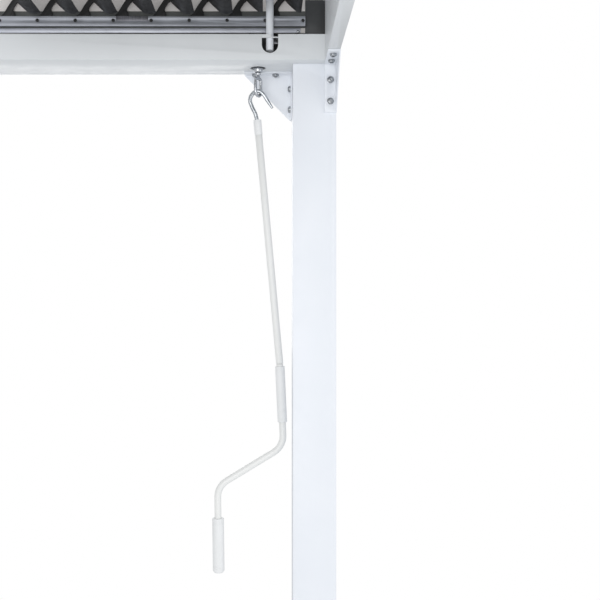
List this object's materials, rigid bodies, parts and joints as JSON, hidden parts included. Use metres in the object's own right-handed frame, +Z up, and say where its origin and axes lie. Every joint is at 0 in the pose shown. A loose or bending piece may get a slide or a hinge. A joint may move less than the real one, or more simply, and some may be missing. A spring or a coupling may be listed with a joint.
{
  "type": "louvred pergola corner with hand crank",
  "caption": "White pergola corner post and beams with tilting dark louvres, driven by a long hand crank hooked into an eye under the beam.",
  "frame": {"origin": "centre of the underside of the base plate, under the post's axis", "axes": "+Z up along the post; +X along the back beam towards the corner's outer side, away from the louvres; -Y along the side beam, towards the person who turns the crank"},
  "size_m": [0.99, 0.73, 2.3041],
  "materials": {
    "white_paint": "fine smooth powder coat",
    "bolt_steel": "zinc plated",
    "anthracite_paint": "matt powder coat",
    "raw_aluminium": "mill finish",
    "chrome": "bright plated",
    "gear_steel": "oiled machined steel",
    "gear_housing": "rough casting",
    "crank_coating": "off-white powder coat",
    "rubber_seal": "matt",
    "grip_plastic": "off-white moulded plastic"
  },
  "bodies": {
    "frame": {"post": "white_paint", "base_plate": "white_paint", "back_beam": "white_paint", "side_beam": "white_paint", "beam_end_cap": "white_paint", "bracket_left": "white_paint", "bracket_right": "white_paint", "bolt_left_post_1": "bolt_steel", "bolt_left_post_2": "bolt_steel", "bolt_left_beam_1": "bolt_steel", "bolt_left_beam_2": "bolt_steel", "bolt_right_post_1": "bolt_steel", "bolt_right_post_2": "bolt_steel", "bolt_right_beam_1": "bolt_steel", "bolt_right_beam_2": "bolt_steel", "pivot_rail": "white_paint", "rail_strip": "raw_aluminium", "rail_seal": "rubber_seal", "closing_plate": "anthracite_paint", "strip_screw": "bolt_steel", "eye_collar": "chrome", "housing_front": "gear_housing", "housing_rear": "gear_housing"},
    "drive_shaft": {"drive_shaft": "gear_steel"},
    "output": {"gear_wheel": "gear_steel", "output_arm": "gear_steel"},
    "push_rod": {"push_rod": "white_paint"},
    "link_bar": {"link_bar": "raw_aluminium", "bar_plate": "raw_aluminium", "bar_end_stud": "anthracite_paint"},
    "knuckle": {"eye_ball": "chrome"},
    "crank": {"eye": "chrome", "hook": "chrome", "tube_plug": "grip_plastic", "crank_tube": "crank_coating", "bent_rod": "crank_coating", "grip_cap": "grip_plastic"},
    "upper_sleeve": {"upper_sleeve": "grip_plastic"},
    "lower_grip": {"lower_grip": "grip_plastic"},
    "louvre_1": {"louvre_blade_1": "anthracite_paint", "louvre_lever_1": "anthracite_paint", "drive_arm": "raw_aluminium"},
    "louvre_2": {"louvre_blade_2": "anthracite_paint", "louvre_lever_2": "anthracite_paint"},
    "louvre_3": {"louvre_blade_3": "anthracite_paint", "louvre_lever_3": "anthracite_paint"},
    "louvre_4": {"louvre_blade_4": "anthracite_paint", "louvre_lever_4": "anthracite_paint"},
    "louvre_5": {"louvre_blade_5": "anthracite_paint", "louvre_lever_5": "anthracite_paint"},
    "louvre_6": {"louvre_blade_6": "anthracite_paint", "louvre_lever_6": "anthracite_paint"},
    "louvre_7": {"louvre_blade_7": "anthracite_paint", "louvre_lever_7": "anthracite_paint"},
    "louvre_8": {"louvre_blade_8": "anthracite_paint", "louvre_lever_8": "anthracite_paint"}
  },
  "joints": [
    {"name": "crank_swing", "type": "hinge", "parent": "frame", "child": "knuckle", "pos_m": [-0.144, -0.005, 2.086], "axis": [-1, 0, 0], "range_deg": [-10, 45]},
    {"name": "crank_turn", "type": "hinge", "parent": "knuckle", "child": "crank", "pos_m": [-0.144, -0.005, 2.086], "axis": [0, 0, 1], "range_deg": [-100, 125]},
    {"name": "drive_shaft_turn", "type": "hinge", "parent": "frame", "child": "drive_shaft", "pos_m": [-0.144, -0.005, 2.1], "axis": [0, 0, 1], "range_deg": [-100, 125]},
    {"name": "output_turn", "type": "hinge", "parent": "frame", "child": "output", "pos_m": [-0.079, -0.06, 2.156], "axis": [0, 1, 0], "range_deg": [-30, 37.5]},
    {"name": "push_rod_pivot", "type": "hinge", "parent": "output", "child": "push_rod", "pos_m": [-0.114, -0.075, 2.156], "axis": [0, 1, 0], "range_deg": [-37.5, 30]},
    {"name": "louvre_1_tilt", "type": "hinge", "parent": "frame", "child": "louvre_1", "pos_m": [-0.079, -0.2, 2.268], "axis": [0, 1, 0], "range_deg": [-30, 37.5]},
    {"name": "louvre_2_tilt", "type": "hinge", "parent": "frame", "child": "louvre_2", "pos_m": [-0.175, -0.2, 2.268], "axis": [0, 1, 0], "range_deg": [-30, 37.5]},
    {"name": "louvre_3_tilt", "type": "hinge", "parent": "frame", "child": "louvre_3", "pos_m": [-0.271, -0.2, 2.268], "axis": [0, 1, 0], "range_deg": [-30, 37.5]},
    {"name": "louvre_4_tilt", "type": "hinge", "parent": "frame", "child": "louvre_4", "pos_m": [-0.367, -0.2, 2.268], "axis": [0, 1, 0], "range_deg": [-30, 37.5]},
    {"name": "louvre_5_tilt", "type": "hinge", "parent": "frame", "child": "louvre_5", "pos_m": [-0.463, -0.2, 2.268], "axis": [0, 1, 0], "range_deg": [-30, 37.5]},
    {"name": "louvre_6_tilt", "type": "hinge", "parent": "frame", "child": "louvre_6", "pos_m": [-0.559, -0.2, 2.268], "axis": [0, 1, 0], "range_deg": [-30, 37.5]},
    {"name": "louvre_7_tilt", "type": "hinge", "parent": "frame", "child": "louvre_7", "pos_m": [-0.655, -0.2, 2.268], "axis": [0, 1, 0], "range_deg": [-30, 37.5]},
    {"name": "louvre_8_tilt", "type": "hinge", "parent": "frame", "child": "louvre_8", "pos_m": [-0.751, -0.2, 2.268], "axis": [0, 1, 0], "range_deg": [-30, 37.5]},
    {"name": "link_bar_pivot", "type": "hinge", "parent": "louvre_5", "child": "link_bar", "pos_m": [-0.51, -0.0615, 2.206], "axis": [0, 1, 0], "range_deg": [-37.5, 30]},
    {"name": "upper_sleeve_spin", "type": "hinge", "parent": "crank", "child": "upper_sleeve", "pos_m": [-0.08791, -0.005, 1.333], "axis": [-0.0454, 0, 0.999], "continuous": true},
    {"name": "lower_grip_spin", "type": "hinge", "parent": "crank", "child": "lower_grip", "pos_m": [-0.2463, -0.005, 0.796], "axis": [-0.0131, 0, 0.9999], "continuous": true}
  ],
  "couplings": [
    {"joint": "drive_shaft_turn", "follows": "crank_turn", "ratio": 1},
    {"joint": "output_turn", "follows": "crank_turn", "ratio": 0.3},
    {"joint": "push_rod_pivot", "follows": "crank_turn", "ratio": -0.3},
    {"joint": "louvre_1_tilt", "follows": "crank_turn", "ratio": 0.3},
    {"joint": "louvre_2_tilt", "follows": "crank_turn", "ratio": 0.3},
    {"joint": "louvre_3_tilt", "follows": "crank_turn", "ratio": 0.3},
    {"joint": "louvre_4_tilt", "follows": "crank_turn", "ratio": 0.3},
    {"joint": "louvre_5_tilt", "follows": "crank_turn", "ratio": 0.3},
    {"joint": "louvre_6_tilt", "follows": "crank_turn", "ratio": 0.3},
    {"joint": "louvre_7_tilt", "follows": "crank_turn", "ratio": 0.3},
    {"joint": "louvre_8_tilt", "follows": "crank_turn", "ratio": 0.3},
    {"joint": "link_bar_pivot", "follows": "crank_turn", "ratio": -0.3}
  ]
}
